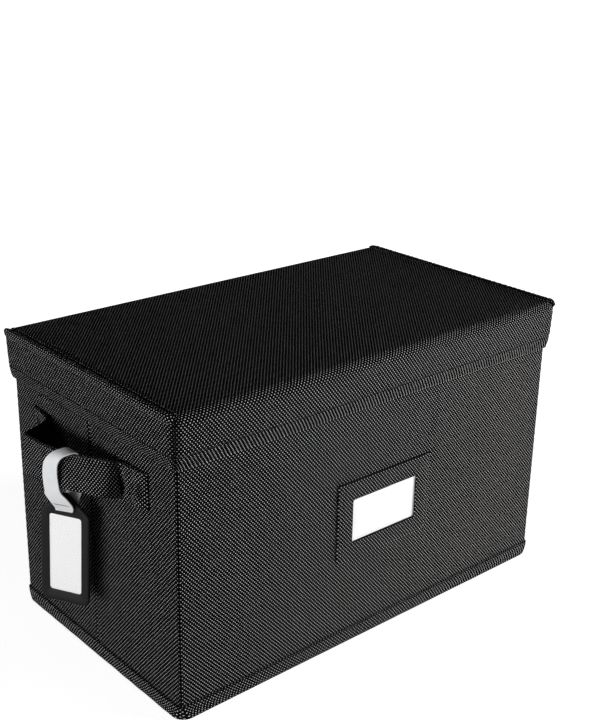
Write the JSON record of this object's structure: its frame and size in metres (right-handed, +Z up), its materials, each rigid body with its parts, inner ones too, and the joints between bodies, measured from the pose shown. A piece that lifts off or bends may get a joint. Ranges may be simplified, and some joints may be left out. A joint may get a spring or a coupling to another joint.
{
  "type": "record carrying case",
  "caption": "Lift-off-lid fabric-over-board case for small records, with a sewn label window, strap handles on its ends, a hanging tag and a loose divider.",
  "frame": {"origin": "middle of the base, on the face that the case stands on", "axes": "+X along the long front wall, away from the tagged handle; -Y is the front with the label; +Z up through the lid"},
  "size_m": [0.4244, 0.2142, 0.2246],
  "materials": {
    "woven_fabric": "coarse plain weave, black with pale flecks",
    "smooth_lining": "smooth non-woven, charcoal",
    "greyboard": "plain greyboard",
    "white_card": "smooth white card",
    "clear_film": "clear film",
    "loop_plastic": "milky translucent",
    "tag_plastic": "fine satin, black"
  },
  "bodies": {
    "case": {"front_fabric": "woven_fabric", "back_fabric": "woven_fabric", "left_fabric": "woven_fabric", "right_fabric": "woven_fabric", "bottom_fabric": "woven_fabric", "hem_band": "woven_fabric", "lining": "smooth_lining", "front_board": "greyboard", "back_board": "greyboard", "left_front_board": "greyboard", "left_rear_board": "greyboard", "right_front_board": "greyboard", "right_rear_board": "greyboard", "label_frame": "woven_fabric", "label_window": "clear_film", "left_handle_ends": "woven_fabric", "right_handle_ends": "woven_fabric"},
    "lid": {"lid_top_fabric": "woven_fabric", "lid_front_fabric": "woven_fabric", "lid_back_fabric": "woven_fabric", "lid_left_fabric": "woven_fabric", "lid_right_fabric": "woven_fabric", "lid_top_board": "greyboard", "lid_front_board": "greyboard", "lid_back_board": "greyboard", "lid_left_board": "greyboard", "lid_right_board": "greyboard", "lid_lining": "smooth_lining", "lid_left_welt": "woven_fabric", "lid_right_welt": "woven_fabric"},
    "base_panel": {"base_board": "greyboard", "base_board_cover": "smooth_lining"},
    "divider": {"divider_board": "greyboard", "divider_cover": "woven_fabric"},
    "left_handle": {"left_handle_strap": "woven_fabric"},
    "right_handle": {"right_handle_strap": "woven_fabric"},
    "tag_strap": {"tag_loop": "loop_plastic"},
    "tag": {"tag_frame": "tag_plastic", "tag_back": "tag_plastic", "tag_window": "clear_film"},
    "tag_insert": {"tag_card": "white_card"},
    "label_insert": {"label_card": "white_card"}
  },
  "joints": [
    {"name": "lid_lift", "type": "slide", "parent": "case", "child": "lid", "axis": [0, 0, 1], "range_m": [0, 0.24]},
    {"name": "base_board_lift", "type": "slide", "parent": "case", "child": "base_panel", "axis": [0, 0, 1], "range_m": [0, 0.015]},
    {"name": "divider_slide", "type": "slide", "parent": "base_panel", "child": "divider", "axis": [1, 0, 0], "range_m": [-0.17, 0.17]},
    {"name": "left_handle_swing", "type": "hinge", "parent": "case", "child": "left_handle", "pos_m": [-0.1805, 0, 0.1605], "axis": [0, 1, 0], "range_deg": [-24, 24], "stiffness_Nm_per_rad": 0.4},
    {"name": "right_handle_swing", "type": "hinge", "parent": "case", "child": "right_handle", "pos_m": [0.1805, 0, 0.1605], "axis": [0, -1, 0], "range_deg": [-24, 24], "stiffness_Nm_per_rad": 0.4},
    {"name": "tag_loop_hang", "type": "hinge", "parent": "left_handle", "child": "tag_strap", "pos_m": [-0.20373, 0.00057, 0.1605], "axis": [0, 1, 0], "range_deg": [-24, 24]},
    {"name": "tag_swing", "type": "hinge", "parent": "tag_strap", "child": "tag", "pos_m": [-0.20373, 0.00057, 0.1404], "axis": [-0.5299, 0.848, 0], "range_deg": [-6, 80]},
    {"name": "tag_card_slide", "type": "slide", "parent": "tag", "child": "tag_insert", "axis": [-0.5299, 0.848, 0], "range_m": [0, 0.033]},
    {"name": "label_card_slide", "type": "slide", "parent": "case", "child": "label_insert", "axis": [0, 0, 1], "range_m": [0, 0.056]}
  ],
  "couplings": [
    {"joint": "tag_loop_hang", "follows": "left_handle_swing", "ratio": -1}
  ]
}
